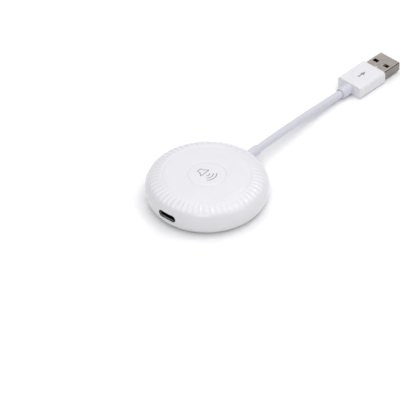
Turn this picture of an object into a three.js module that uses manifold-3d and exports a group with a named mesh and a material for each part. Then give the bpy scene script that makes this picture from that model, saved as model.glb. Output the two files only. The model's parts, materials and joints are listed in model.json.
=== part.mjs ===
// A round puck-shaped bluetooth audio receiver with a USB-C port on one side and a short fixed
// cable that ends in a USB-A plug on the other side.
//
// Units are millimetres. The origin is at the centre of the underside, +Z is up, the USB-C port
// faces -Y and the cable leaves along +Y. The plug lies on the surface z = 0 that the puck stands on.

import * as THREE from 'three';
import { mergeVertices } from 'three/addons/utils/BufferGeometryUtils.js';
import Module from 'manifold-3d';

const wasm = await Module();
wasm.setup();

// ---- Driving dimensions ----

const PUCK = {
  radius: 28,          // at the widest level
  height: 14,
  widestZ: 6.8,
  flatTopRadius: 20,   // the fluted shoulder starts here
  shoulderPower: 2.45, // superellipse power of the shoulder's section
  baseRadius: 22.7,    // where the lower curve would meet z = 0
  seamZ: 1.2,          // joint between the housing and the base cover
  undersideZ: 0.4,     // the foot ring lifts the base cover this far
};
const FLUTES = { count: 60, startRadius: 20.2, endRadius: 26.2, depth: 0.35 };
const CAVITY = { radius: 24.6, roofZ: 12.2, cornerRadius: 20, cornerZ: 10 };
const COVER = { topZ: 1.9 };

const BUTTON = {
  radius: 8.6, gap: 0.12, flangeRadius: 9.8, flangeZ: 11, flangeTopZ: 12.1, wall: 1, discThickness: 1.2,
  postRadius: 2.2,
};
const SWITCH = {
  size: 6, height: 3.3, plungerRadius: 1.6, boreRadius: 1.8, topZ: 10, boreDepth: 1.3, rest: 0.1,
};
const BUTTON_TRAVEL = 0.35;

const BOARD = { radius: 23.8, topZ: 5.35, thickness: 1 };
const PORT = { z: 7, width: 9.8, height: 3.6, mouthY: -27.2 };
const USB_C = { width: 8.94, height: 3.26, wall: 0.3, depth: 7.35, tongueWidth: 6.2, tongueThickness: 0.7 };

const CASE_SCREW = { circle: 19.5, headRadius: 1.7, headHeight: 1.3, shankRadius: 1, tipZ: 9.6 };
const BOARD_SCREW = { x: 12, headRadius: 1.6, headHeight: 1, shankRadius: 0.8, tipZ: 9.4 };
const PILLAR = { radius: 2.6, bottomZ: 3.25, cupRadius: 2.9, cupTopZ: 3.2, seatZ: 2.3 };
const POST_RADIUS = 2;
const FOOT = { inner: 17.2, outer: 21.8, thickness: 0.8 };

const CABLE = { radius: 1.8, sides: 8, exitZ: 6.8 };
const BOOT = { radius: 2.3, tipY: 35.2, flangeRadius: 2.9, flangeY: 22.9, flangeThickness: 1.2 };
const WIRE = { radius: 0.45, pitch: 1.3, padY: 15.5 };

const PLUG = { yaw: 3.4, x: 0.3, y: 101.4, z: 3.2 };  // middle of the overmold's cable end, yaw in degrees
const OVERMOLD = { width: 14.4, thickness: 6.4, length: 17.6, corner: 1.6, edge: 0.35, pocketDepth: 4 };
const COLLAR = { radius: 2.7, length: 6.1, rim: 0.7 };
const USB_A = { width: 12, height: 4.5, wall: 0.3, exposed: 11.2 };
const WINDOW = { width: 2.75, length: 2, offset: 3.225, start: 3.9 };
const INSULATOR = { thickness: 1.85, setback: 0.8 };
const CONTACT = { width: 1, thickness: 0.3, pitch: [-3.5, -1, 1, 3.5], length: [8.4, 7.4, 7.4, 8.4] };

const TOUCH = 0.05;      // gap between pieces that rest on each other
const CLEAR = 0.3;       // gap between pieces that only stand close
const PILOT_DEPTH = 0.5; // a screw's hole goes this far past its tip

const degrees = THREE.MathUtils.degToRad;

// ---- Materials ----

function material(color, roughness, metalness = 0) {
  return new THREE.MeshStandardMaterial({ color, roughness, metalness });
}

const finish = {
  whitePlastic: () => material(0xf1f1f5, 0.22),
  cableJacket: () => material(0xd9d8e4, 0.45),
  silicone: () => material(0xb9bac0, 0.8),
  boardLacquer: () => material(0x14532f, 0.5),
  blackPlastic: () => material(0x151517, 0.55),
  naturalPlastic: () => material(0xe6e4dd, 0.5),
  nickelSteel: () => material(0xb5aea6, 0.3, 1),
  tinnedSteel: () => material(0xc9cacc, 0.35, 1),
  zincSteel: () => material(0xa5a7ab, 0.4, 1),
  gold: () => material(0xd8b25a, 0.3, 1),
  ceramic: () => material(0xd9c7a3, 0.6),
  ferrite: () => material(0x3a3a3e, 0.7),
};

// ---- Shape helpers ----

// A closed geometry with shared vertices and no zero-area triangles.
function weld(geometry) {
  const bare = geometry.clone();
  bare.deleteAttribute('normal');
  bare.deleteAttribute('uv');
  const merged = mergeVertices(bare, 1e-4);
  const kept = [];
  for (let i = 0; i < merged.index.count; i += 3) {
    const [a, b, c] = [0, 1, 2].map((k) => merged.index.getX(i + k));
    if (a !== b && b !== c && c !== a) kept.push(a, b, c);
  }
  merged.setIndex(kept);
  return merged;
}

function toSolid(geometry) {
  const welded = weld(geometry);
  return new wasm.Manifold(new wasm.Mesh({
    numProp: 3,
    vertProperties: new Float32Array(welded.attributes.position.array),
    triVerts: new Uint32Array(welded.index.array),
  }));
}

function toGeometry(solid) {
  const mesh = solid.getMesh();
  const geometry = new THREE.BufferGeometry();
  geometry.setAttribute('position', new THREE.BufferAttribute(new Float32Array(mesh.vertProperties), 3));
  geometry.setIndex(new THREE.BufferAttribute(new Uint32Array(mesh.triVerts), 1));
  geometry.computeVertexNormals();
  return geometry;
}

function cut(body, ...tools) {
  return toGeometry(tools.reduce((solid, tool) => solid.subtract(toSolid(tool)), toSolid(body)));
}

function join(body, ...more) {
  return toGeometry(more.reduce((solid, other) => solid.add(toSolid(other)), toSolid(body)));
}

// Turns a list of [radius, z] points, counter-clockwise with the radius to the right, about Z.
function turned(points, segments) {
  const profile = points.map(([radius, z]) => new THREE.Vector2(radius, z));
  return new THREE.LatheGeometry(profile, segments).rotateX(Math.PI / 2);
}

function ring(inner, outer, bottom, top, segments) {
  return turned([[inner, bottom], [outer, bottom], [outer, top], [inner, top], [inner, bottom]], segments);
}

function disc(radius, bottom, top, segments) {
  return turned([[0, bottom], [radius, bottom], [radius, top], [0, top]], segments);
}

// A box given by its middle in X and Y and by its lower and upper faces.
function block(width, depth, bottom, top, x = 0, y = 0) {
  return new THREE.BoxGeometry(width, depth, top - bottom).translate(x, y, (bottom + top) / 2);
}

// A rectangle with round corners, centred on the origin.
function roundedRectangle(width, height, corner) {
  const [x, y] = [width / 2, height / 2];
  const shape = new THREE.Shape();
  shape.moveTo(corner - x, -y);
  shape.lineTo(x - corner, -y);
  shape.absarc(x - corner, corner - y, corner, -Math.PI / 2, 0);
  shape.lineTo(x, y - corner);
  shape.absarc(x - corner, y - corner, corner, 0, Math.PI / 2);
  shape.lineTo(corner - x, y);
  shape.absarc(corner - x, y - corner, corner, Math.PI / 2, Math.PI);
  shape.lineTo(-x, corner - y);
  shape.absarc(corner - x, corner - y, corner, Math.PI, 1.5 * Math.PI);
  return shape;
}

// Pushes an outline drawn in X and Z along +Y, from y = 0.
function alongY(shape, depth, curveSegments = 5) {
  const geometry = new THREE.ExtrudeGeometry(shape, { depth, curveSegments, bevelEnabled: false });
  return geometry.rotateX(Math.PI / 2).translate(0, depth, 0);
}

// A tube along a smooth curve through the points.
function tube(points, radius, sides, steps) {
  const section = new THREE.Shape();
  for (let i = 0; i < sides; i += 1) {
    const angle = (2 * Math.PI * i) / sides;
    const [x, y] = [radius * Math.cos(angle), radius * Math.sin(angle)];
    if (i === 0) section.moveTo(x, y);
    else section.lineTo(x, y);
  }
  const path = new THREE.CatmullRomCurve3(points.map((p) => new THREE.Vector3(...p)));
  return new THREE.ExtrudeGeometry(section, { steps, extrudePath: path });
}

function piece(name, geometry, look) {
  const mesh = new THREE.Mesh(geometry, look);
  mesh.name = name;
  return mesh;
}

// ---- Puck casing ----

function shoulderPoints(steps) {
  const { radius, flatTopRadius, height, widestZ, shoulderPower } = PUCK;
  const points = [];
  for (let i = 0; i <= steps; i += 1) {
    const angle = (i / steps) * (Math.PI / 2);
    points.push([
      flatTopRadius + (radius - flatTopRadius) * Math.cos(angle) ** (2 / shoulderPower),
      widestZ + (height - widestZ) * Math.sin(angle) ** (2 / shoulderPower),
    ]);
  }
  return points;
}

function lowerRadius(z) {
  const fall = (PUCK.widestZ - z) / PUCK.widestZ;
  return PUCK.baseRadius + (PUCK.radius - PUCK.baseRadius) * Math.sqrt(1 - fall * fall);
}

// The shoulder's height above a radius, used to seat the flutes.
function shoulderZ(radius) {
  const { flatTopRadius, height, widestZ, shoulderPower } = PUCK;
  const reach = (radius - flatTopRadius) / (PUCK.radius - flatTopRadius);
  return widestZ + (height - widestZ) * (1 - reach ** shoulderPower) ** (1 / shoulderPower);
}

// Every second meridian sinks between the start and end radii, which leaves V-shaped flutes.
function flutedBody() {
  const rim = PUCK.seamZ + TOUCH;
  const lower = [rim, 2.6, 4.6].map((z) => [lowerRadius(z), z]);
  const upper = shoulderPoints(8).filter(([radius]) => radius > FLUTES.endRadius + 0.1);
  const { startRadius, endRadius, count, depth } = FLUTES;
  const fluteRadii = [endRadius, 25.6, 24, 22, startRadius];
  const flutes = fluteRadii.map((radius) => [radius, shoulderZ(radius)]);
  const profile = [[0, rim], ...lower, ...upper, ...flutes, [PUCK.flatTopRadius, PUCK.height], [0, PUCK.height]];
  const body = turned(profile, 2 * count);
  const position = body.attributes.position;
  const low = startRadius + 0.1;
  const high = endRadius - 0.1;
  for (let i = 0; i < position.count; i += 1) {
    const meridian = Math.floor(i / profile.length);
    const radius = Math.hypot(position.getX(i), position.getY(i));
    const fluted = meridian % 2 === 1 && radius > low && radius < high && position.getZ(i) > PUCK.widestZ;
    if (fluted) position.setZ(i, position.getZ(i) - depth);
  }
  return body;
}

function casePillars() {
  return [45, 135, 225, 315].map((angle) => {
    const x = CASE_SCREW.circle * Math.cos(degrees(angle));
    const y = CASE_SCREW.circle * Math.sin(degrees(angle));
    return [x, y];
  });
}

function boardPosts() {
  return [[-BOARD_SCREW.x, 0], [BOARD_SCREW.x, 0]];
}

function atPillars(make) {
  return casePillars().map(([x, y]) => make().translate(x, y, 0));
}

function atPosts(make) {
  return boardPosts().map(([x, y]) => make().translate(x, y, 0));
}

// The hole that a screw's thread sits in, with a little room round the shank.
function pilotHole({ shankRadius, tipZ }) {
  return disc(shankRadius + 0.1, 2, tipZ + PILOT_DEPTH, 12);
}

function housing() {
  const { radius, roofZ, cornerRadius, cornerZ } = CAVITY;
  const cavity = turned([
    [0, 0], [radius, 0], [radius, cornerZ], [22.6, 11.4], [cornerRadius, roofZ], [0, roofZ],
  ], 48);
  const portHole = alongY(roundedRectangle(PORT.width, PORT.height, PORT.height / 2 - 0.01), 8)
    .translate(0, -PUCK.radius - 2, PORT.z);
  const cableHole = disc(BOOT.radius + 0.2, 0, 8, 24).rotateX(-Math.PI / 2).translate(0, 22, CABLE.exitZ);
  const bore = disc(BUTTON.radius + BUTTON.gap, 10, 16, 54);
  const shell = cut(flutedBody(), cavity, portHole, cableHole, bore);
  const tops = roofZ + 0.8;
  const pillars = atPillars(() => disc(PILLAR.radius, PILLAR.bottomZ, tops, 16));
  const posts = atPosts(() => disc(POST_RADIUS, BOARD.topZ + TOUCH, tops, 16));
  const pilots = [...atPillars(() => pilotHole(CASE_SCREW)), ...atPosts(() => pilotHole(BOARD_SCREW))];
  return piece('housing', cut(join(shell, ...pillars, ...posts), ...pilots), finish.whitePlastic());
}

function baseCover() {
  const { seamZ, undersideZ } = PUCK;
  const spigot = CAVITY.radius - CLEAR;
  const grooveTop = FOOT.thickness + TOUCH;
  const plate = turned([
    [0, undersideZ], [FOOT.inner - 0.1, undersideZ], [FOOT.inner - 0.1, grooveTop],
    [FOOT.outer + 0.1, grooveTop], [FOOT.outer + 0.1, undersideZ], [lowerRadius(undersideZ), undersideZ],
    [lowerRadius(0.75), 0.75], [lowerRadius(seamZ), seamZ], [spigot, seamZ], [spigot, COVER.topZ],
    [0, COVER.topZ],
  ], 54);
  const cups = atPillars(() => disc(PILLAR.cupRadius, seamZ + CLEAR, PILLAR.cupTopZ, 16));
  const wells = atPillars(() => disc(CASE_SCREW.headRadius + 0.2, 0, PILLAR.seatZ, 16));
  const holes = atPillars(() => disc(CASE_SCREW.shankRadius + 0.2, 0, PILLAR.cupTopZ + 1, 12));
  return piece('base_cover', cut(join(plate, ...cups), ...wells, ...holes), finish.whitePlastic());
}

function footRing() {
  return piece('foot_ring', ring(FOOT.inner, FOOT.outer, 0, FOOT.thickness, 54), finish.silicone());
}

// ---- Button and its switch ----

function buttonCap() {
  const { radius, flangeRadius, flangeZ, flangeTopZ, wall, discThickness, postRadius } = BUTTON;
  const under = PUCK.height - discThickness;
  const profile = [
    [0, SWITCH.topZ + TOUCH], [postRadius, SWITCH.topZ + TOUCH], [postRadius, under], [radius - wall, under],
    [radius - wall, flangeZ], [flangeRadius, flangeZ], [flangeRadius, flangeTopZ], [radius, flangeTopZ],
    [radius, PUCK.height], [0, PUCK.height],
  ];
  return piece('button_cap', turned(profile, 54), finish.whitePlastic());
}

function switchBody() {
  const bottom = BOARD.topZ + TOUCH;
  const top = bottom + SWITCH.height;
  const bore = disc(SWITCH.boreRadius, top - SWITCH.boreDepth, top + 1, 16);
  const body = cut(block(SWITCH.size, SWITCH.size, bottom, top), bore);
  return piece('switch_body', body, finish.blackPlastic());
}

function switchPlunger() {
  const boreFloor = BOARD.topZ + TOUCH + SWITCH.height - SWITCH.boreDepth;
  const stem = disc(SWITCH.plungerRadius, boreFloor + BUTTON_TRAVEL + SWITCH.rest, SWITCH.topZ, 16);
  return piece('switch_plunger', stem, finish.naturalPlastic());
}

// ---- Circuit board and its components ----

function mainBoard() {
  const { radius, topZ, thickness } = BOARD;
  const bottom = topZ - thickness;
  const plate = disc(radius, bottom, topZ, 48);
  const through = (r, x, y) => disc(r, bottom - 1, topZ + 1, 16).translate(x, y, 0);
  const pillarHoles = casePillars().map(([x, y]) => through(PILLAR.radius + CLEAR, x, y));
  const screwHoles = boardPosts().map(([x, y]) => through(BOARD_SCREW.shankRadius + 0.2, x, y));
  const bootNotch = block(2 * BOOT.flangeRadius + 1.2, 6, bottom - 1, topZ + 1, 0, radius + 0.6);
  return piece('main_board', cut(plate, ...pillarHoles, ...screwHoles, bootNotch), finish.boardLacquer());
}

// A surface-mounted component: name, width, depth, height, x, y, look.
function component(name, width, depth, height, x, y, look) {
  const bottom = BOARD.topZ + TOUCH;
  return piece(name, block(width, depth, bottom, bottom + height, x, y), look);
}

function shieldCan(size, height, wall, x, y) {
  const bottom = BOARD.topZ + TOUCH;
  const outside = block(size, size, bottom, bottom + height, x, y);
  const inside = block(size - 2 * wall, size - 2 * wall, bottom - 1, bottom + height - wall, x, y);
  return piece('shield_can', cut(outside, inside), finish.tinnedSteel());
}

function boardComponents() {
  const radio = [-6, -10.5];
  return [
    component('bluetooth_chip', 6, 6, 0.9, ...radio, finish.blackPlastic()),
    shieldCan(9.6, 1.8, 0.25, ...radio),
    component('audio_chip', 5, 5, 0.9, 8, -10.5, finish.blackPlastic()),
    component('flash_memory', 5, 4, 1.5, 8, 9.5, finish.blackPlastic()),
    component('clock_crystal', 3.2, 2.5, 0.8, -6.5, -3.8, finish.tinnedSteel()),
    component('power_inductor', 4, 4, 2, -7.5, 10.5, finish.ferrite()),
    component('input_capacitor', 3.2, 1.6, 1.5, 0, 10.5, finish.ceramic()),
    component('output_capacitor', 3.2, 1.6, 1.5, 7.5, -5, finish.ceramic()),
    component('chip_antenna', 2, 7, 1.2, -21, 0, finish.ceramic()),
  ];
}

function boardScrews() {
  const headTop = BOARD.topZ - BOARD.thickness - TOUCH;
  return boardPosts().map(([x, y], i) => {
    const geometry = screw(BOARD_SCREW, headTop).translate(x, y, 0);
    return piece(`board_screw_${i + 1}`, geometry, finish.zincSteel());
  });
}

// A pan-head screw that is driven upwards, with a cross recess in its head.
function screw({ headRadius, headHeight, shankRadius, tipZ }, headTop) {
  const headBottom = headTop - headHeight;
  const body = turned([
    [0, headBottom], [headRadius - 0.4, headBottom], [headRadius, headBottom + 0.4], [headRadius, headTop],
    [shankRadius, headTop], [shankRadius, tipZ - 1], [0.3, tipZ], [0, tipZ],
  ], 12);
  const slot = (width, depth) => block(width, depth, headBottom - 1, headBottom + 0.6);
  return cut(body, slot(1.8, 0.45), slot(0.45, 1.8));
}

function caseScrews() {
  return casePillars().map(([x, y], i) => {
    const geometry = screw(CASE_SCREW, PILLAR.seatZ - TOUCH).translate(x, y, 0);
    return piece(`case_screw_${i + 1}`, geometry, finish.zincSteel());
  });
}

// ---- USB-C port ----

function usbCShell() {
  const { width, height, wall, depth } = USB_C;
  const outline = roundedRectangle(width, height, height / 2 - 0.35);
  const inner = roundedRectangle(width - 2 * wall, height - 2 * wall, height / 2 - 0.65);
  outline.holes.push(new THREE.Path(inner.getPoints(5)));
  const shell = alongY(outline, depth).translate(0, PORT.mouthY, PORT.z + 0.03 + TOUCH);
  return piece('usb_c_shell', shell, finish.tinnedSteel());
}

function usbCTongue() {
  const { width, height, wall, depth, tongueWidth, tongueThickness } = USB_C;
  const z = PORT.z + 0.03 + TOUCH;
  const plugHeight = height - 2 * wall - 0.2;
  const back = alongY(roundedRectangle(width - 2 * wall - 0.2, plugHeight, plugHeight / 2 - 0.35), 1.6)
    .translate(0, PORT.mouthY + depth - 1.6, z);
  const tongue = new THREE.BoxGeometry(tongueWidth, 5.2, tongueThickness)
    .translate(0, PORT.mouthY + depth - 1 - 2.6, z);
  return piece('usb_c_tongue', join(back, tongue), finish.blackPlastic());
}

// ---- Cable ----

function cableBoot() {
  const { radius, tipY, flangeRadius, flangeY, flangeThickness } = BOOT;
  const flangeEnd = flangeY + flangeThickness;
  const profile = [
    [0, flangeY], [flangeRadius, flangeY], [flangeRadius, flangeEnd], [radius, flangeEnd],
    [radius, tipY - 0.4], [radius - 0.3, tipY], [0, tipY],
  ];
  const geometry = turned(profile, 24).rotateX(-Math.PI / 2).translate(0, 0, CABLE.exitZ);
  return piece('cable_boot', geometry, finish.cableJacket());
}

// The cable leaves the boot level, sinks to the plug's height and runs level into the collar.
function cableJacket() {
  const start = BOOT.tipY + CLEAR;
  const end = PLUG.y - COLLAR.length - CLEAR;
  const route = [
    [0, start, CABLE.exitZ], [-0.01, 38, 6.7], [-0.04, 42, 6.52], [-0.1, 46, 6.32], [-0.17, 50, 6.08],
    [-0.25, 54, 5.82], [-0.33, 58, 5.53], [-0.41, 62, 5.22], [-0.48, 66, 4.9], [-0.54, 70, 4.59],
    [-0.56, 74, 4.28], [-0.56, 78, 3.98], [-0.52, 82, 3.72], [-0.44, 86, 3.49], [-0.31, 90, 3.31],
    [-0.08, end, PLUG.z],
  ];
  return piece('cable_jacket', tube(route, CABLE.radius, CABLE.sides, 16), finish.cableJacket());
}

function innerWires() {
  const colours = { red: 0xb3261e, white: 0xe8e8e8, green: 0x2e7d46, black: 0x1b1b1d };
  const start = BOOT.flangeY - CLEAR;
  const restZ = BOARD.topZ + WIRE.radius + 0.1;
  return Object.entries(colours).map(([colour, hex], i) => {
    const x = (i - 1.5) * WIRE.pitch;
    const route = [
      [x, start, 7.2], [x, start - 2, 7.1], [1.1 * x, WIRE.padY + 2.6, 6.2], [1.2 * x, WIRE.padY, restZ],
    ];
    return piece(`wire_${colour}`, tube(route, WIRE.radius, 8, 6), material(hex, 0.6));
  });
}

// ---- USB-A plug, drawn along +Y from the overmold's cable end and then laid in place ----

function plugCollar() {
  const { radius, length, rim } = COLLAR;
  const profile = [
    [0, -length], [radius - rim, -length], [radius - 0.2, rim - 0.2 - length], [radius, 2 * rim - length],
    [radius, -TOUCH], [0, -TOUCH],
  ];
  const geometry = turned(profile, 24).rotateX(-Math.PI / 2);
  return piece('plug_collar', geometry, finish.cableJacket());
}

function plugOvermold() {
  const { width, thickness, length, corner, edge, pocketDepth } = OVERMOLD;
  const shape = roundedRectangle(width - 2 * edge, thickness - 2 * edge, corner - edge);
  const options = {
    depth: length - 2 * edge, bevelThickness: edge, bevelSize: edge, bevelSegments: 2, curveSegments: 5,
  };
  const body = new THREE.ExtrudeGeometry(shape, options).rotateX(-Math.PI / 2).translate(0, edge, 0);
  const gap = 2 * TOUCH;
  const pocket = new THREE.BoxGeometry(USB_A.width + gap, pocketDepth + 1, USB_A.height + gap)
    .translate(0, length + 0.5 - pocketDepth / 2, 0);
  return piece('plug_overmold', cut(body, pocket), finish.whitePlastic());
}

function usbAShell() {
  const { width, height, wall, exposed } = USB_A;
  const rear = OVERMOLD.length - OVERMOLD.pocketDepth + TOUCH;
  const length = exposed + OVERMOLD.pocketDepth - TOUCH;
  const outline = roundedRectangle(width, height, 0.5);
  const inner = roundedRectangle(width - 2 * wall, height - 2 * wall, 0.2);
  outline.holes.push(new THREE.Path(inner.getPoints(2)));
  const sleeve = alongY(outline, length, 2).translate(0, rear, 0);
  const windowY = OVERMOLD.length + WINDOW.start + WINDOW.length / 2;
  const windows = [-WINDOW.offset, WINDOW.offset].map(
    (x) => new THREE.BoxGeometry(WINDOW.width, WINDOW.length, 2 * height).translate(x, windowY, 0));
  return piece('usb_a_shell', cut(sleeve, ...windows), finish.nickelSteel());
}

function insulatorTop() {
  return -USB_A.height / 2 + USB_A.wall + TOUCH + INSULATOR.thickness;
}

function usbAInsulator() {
  const { width, wall, height, exposed } = USB_A;
  const rear = OVERMOLD.length - OVERMOLD.pocketDepth + TOUCH;
  const front = OVERMOLD.length + exposed - INSULATOR.setback;
  const inside = width - 2 * wall - 2 * TOUCH - 0.2;
  const floor = wall - height / 2 + TOUCH;
  const ceiling = height / 2 - wall - TOUCH;
  const tongue = block(inside, front - rear, floor, insulatorTop(), 0, (front + rear) / 2);
  const plug = block(inside, 3, floor, ceiling, 0, rear + 1.5);
  return piece('usb_a_insulator', join(tongue, plug), finish.blackPlastic());
}

function usbAContacts() {
  const front = OVERMOLD.length + USB_A.exposed - INSULATOR.setback - 0.6;
  const bottom = insulatorTop() + TOUCH;
  return CONTACT.pitch.map((x, i) => {
    const y = front - CONTACT.length[i] / 2;
    const strip = block(CONTACT.width, CONTACT.length[i], bottom, bottom + CONTACT.thickness, x, y);
    return piece(`usb_a_contact_${i + 1}`, strip, finish.gold());
  });
}

function plug() {
  const group = new THREE.Group();
  group.add(plugCollar(), plugOvermold(), usbAShell(), usbAInsulator(), ...usbAContacts());
  group.position.set(PLUG.x, PLUG.y, PLUG.z);
  group.rotation.z = -degrees(PLUG.yaw);
  return group;
}

// ---- Assembly ----

const receiver = new THREE.Group();
receiver.add(housing(), baseCover(), footRing(), ...caseScrews());
receiver.add(buttonCap(), switchBody(), switchPlunger());
receiver.add(mainBoard(), ...boardComponents(), ...boardScrews());
receiver.add(usbCShell(), usbCTongue());
receiver.add(cableBoot(), cableJacket(), ...innerWires());
receiver.add(plug());

export default receiver;
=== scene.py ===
"""Looks of a round bluetooth audio receiver: fluted white puck, short fixed cable, USB-A plug.

Shapes are made in millimetres in the CAD model's own frame (+Z up, port on -Y, cable on +Y) and
become metres when they turn into objects.
"""
import json
import math

import bmesh
import bpy
from mathutils import Matrix, Vector


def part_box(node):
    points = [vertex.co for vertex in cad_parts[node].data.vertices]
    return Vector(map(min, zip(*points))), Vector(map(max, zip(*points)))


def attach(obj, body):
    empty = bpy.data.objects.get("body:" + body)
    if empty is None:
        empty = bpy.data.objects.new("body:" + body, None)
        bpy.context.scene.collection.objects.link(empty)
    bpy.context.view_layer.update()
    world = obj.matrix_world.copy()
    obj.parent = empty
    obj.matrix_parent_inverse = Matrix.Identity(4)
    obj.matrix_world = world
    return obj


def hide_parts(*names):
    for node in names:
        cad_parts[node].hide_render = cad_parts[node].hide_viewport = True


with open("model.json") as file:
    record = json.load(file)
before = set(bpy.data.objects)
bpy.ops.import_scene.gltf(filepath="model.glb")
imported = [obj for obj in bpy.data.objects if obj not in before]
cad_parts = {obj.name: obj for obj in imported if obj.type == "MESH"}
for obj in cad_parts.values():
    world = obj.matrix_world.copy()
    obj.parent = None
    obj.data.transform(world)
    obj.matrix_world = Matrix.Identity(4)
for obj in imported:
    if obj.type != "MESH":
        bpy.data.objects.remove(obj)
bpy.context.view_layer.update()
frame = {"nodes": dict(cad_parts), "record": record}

MM = 0.001


def box_mm(node):
    """Low and high corner of a CAD node's box, in millimetres."""
    low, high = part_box(node)
    return Vector(low) / MM, Vector(high) / MM


# ---- Sizes and places, in millimetres ----

HOUSING_HIGH = box_mm("housing")[1]
COVER_LOW = box_mm("base_cover")[0]
FOOT_LOW, FOOT_HIGH = box_mm("foot_ring")
SHELL_C_LOW, SHELL_C_HIGH = box_mm("usb_c_shell")
BOOT_LOW, BOOT_HIGH = box_mm("cable_boot")

RADIUS = HOUSING_HIGH.x         # at the widest level
TOP = HOUSING_HIGH.z
WIDEST_Z = 6.8
FLAT_TOP_RADIUS = 20.0
SHOULDER_POWER = 2.45
BASE_RADIUS = 22.7              # where the lower curve would meet z = 0
SEAM_Z = 1.2
UNDERSIDE_Z = COVER_LOW.z
MERIDIANS = 720                 # twelve for each flute

FLUTE_COUNT = 60
FLUTE_START = 20.9
FLUTE_END = 26.5
FLUTE_DEPTH_SHARE = 0.50        # of the way down to a straight line from start to end
FLUTE_CUTTER_RADIUS = 3.0
FLUTE_BLEND = 0.05              # softens each flute's edges
FLUTED_OUTER_RADIUS = 26.9      # between these radii the section's rows follow the flutes
FLUTED_INNER_RADIUS = 20.5
FLUTED_STEPS = 24

CAVITY_RADIUS = 24.6
CAVITY_ROOF_Z = 12.2
PILLAR_CIRCLE_RADIUS = 19.5
POST_X = 12
BORE_RADIUS = 8.70
BUTTON_RADIUS = 8.68

PORT_Z = 7.0
PORT_HALF_WIDTH = 4.9
PORT_HALF_HEIGHT = 1.8
PORT_SHELL_SETBACK = 0.6        # from the CAD shell's front, in the shade of the opening
EXIT_Z = 6.8                    # height of the cable's exit
CABLE_HOLE_RADIUS = 2.5
HOLE_FILLET = 0.22

CABLE_RADIUS = 1.8
BOOT_RADIUS = 2.3
CABLE_ROUTE = [
    (0, 27.6, 6.8), (0, 31.5, 6.8), (0, 35.5, 6.8), (-0.01, 38, 6.7), (-0.04, 42, 6.52), (-0.1, 46, 6.32),
    (-0.17, 50, 6.08), (-0.25, 54, 5.82), (-0.33, 58, 5.53), (-0.41, 62, 5.22), (-0.48, 66, 4.9),
    (-0.54, 70, 4.59), (-0.56, 74, 4.28), (-0.56, 78, 3.98), (-0.52, 82, 3.72), (-0.44, 86, 3.49),
    (-0.31, 90, 3.31), (-0.08, 95, 3.2), (0.1, 98, 3.2), (0.29, 101.2, 3.2),
]

PLUG_PLACE = Vector((0.3, 101.4, 3.2))   # middle of the overmold's cable end
PLUG_YAW = math.radians(3.4)
OVERMOLD_WIDTH = 14.4
OVERMOLD_THICKNESS = 6.4
OVERMOLD_LENGTH = 17.6
USB_A_WIDTH = 12.0
USB_A_HEIGHT = 4.5
USB_A_WALL = 0.3
USB_A_EXPOSED = 11.2
USB_A_HIDDEN = 3.9              # stretch of the shell inside the overmold
WINDOW_INNER_X = 1.85           # from the middle; starts and ends are from the overmold
WINDOW_OUTER_X = 4.6
WINDOW_START = 3.9
WINDOW_END = 5.9
SLOT_HALF_WIDTH = 0.8
SLOT_START = 1.1
SLOT_END = 1.6

PLUG_TO_WORLD = Matrix.Translation(PLUG_PLACE) @ Matrix.Rotation(-PLUG_YAW, 4, "Z")


# ---- Mesh building ----

class Shape:
    """Points in millimetres and the faces between them."""

    def __init__(self):
        self.points = []
        self.faces = []

    def ring(self, points):
        start = len(self.points)
        self.points.extend(Vector(p) for p in points)
        return list(range(start, len(self.points)))

    def bridge(self, first, second, closed=True):
        count = len(first)
        for i in range(count if closed else count - 1):
            j = (i + 1) % count
            self.faces.append((first[i], first[j], second[j], second[i]))

    def loft(self, rings, closed=False):
        """Joins each ring to the next, and the last to the first if closed."""
        for first, second in zip(rings, rings[1:] + (rings[:1] if closed else [])):
            self.bridge(first, second)

    def cap(self, ring):
        self.faces.append(tuple(ring))

    def prism(self, outline, bottom, top):
        """A closed prism over an [x, y] outline."""
        low, high = (self.ring((x, y, z) for x, y in outline) for z in (bottom, top))
        self.bridge(low, high)
        self.cap(low)
        self.cap(high)

    def fan(self, ring, point):
        (tip,) = self.ring([point])
        for i, vertex in enumerate(ring):
            self.faces.append((vertex, ring[(i + 1) % len(ring)], tip))

    def revolve(self, profile, steps, closed=False, centre=(0, 0)):
        """Turns [radius, z] points about a vertical line. Open profiles start and end on it."""
        rings = []
        for radius, z in profile:
            if radius == 0:
                rings.append((centre[0], centre[1], z))
                continue
            angles = (2 * math.pi * i / steps for i in range(steps))
            rings.append(self.ring(
                (centre[0] + radius * math.cos(a), centre[1] + radius * math.sin(a), z) for a in angles))
        pairs = list(zip(rings, rings[1:])) + ([(rings[-1], rings[0])] if closed else [])
        for first, second in pairs:
            if isinstance(first, tuple):
                self.fan(second, first)
            elif isinstance(second, tuple):
                self.fan(first, second)
            else:
                self.bridge(first, second)

    def move(self, matrix):
        self.points = [matrix @ p for p in self.points]
        return self

    def object(self, name, material, slot, body="receiver", sharp=35, bevel=0.0, replaces=()):
        """Makes the mesh object, in metres, and lets it ride on its body."""
        used = sorted({i for face in self.faces for i in face})
        place = {old: new for new, old in enumerate(used)}
        mesh = outward_mesh(
            name, [self.points[i] for i in used], [[place[i] for i in face] for face in self.faces])
        finish_mesh(mesh, sharp)
        piece = bpy.data.objects.new(name, mesh)
        bpy.context.collection.objects.link(piece)
        mesh.materials.append(material)
        if bevel:
            add_bevel(piece, bevel)
        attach(piece, body)
        if replaces:
            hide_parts(*replaces)
        return piece


def outward_mesh(name, points, faces):
    """A mesh in metres, from points in millimetres, with its faces pointing out."""
    mesh = bpy.data.meshes.new(name)
    mesh.from_pydata([p * MM for p in points], [], faces)
    work = bmesh.new()
    work.from_mesh(mesh)
    bmesh.ops.recalc_face_normals(work, faces=work.faces)
    work.to_mesh(mesh)
    work.free()
    return mesh


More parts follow.
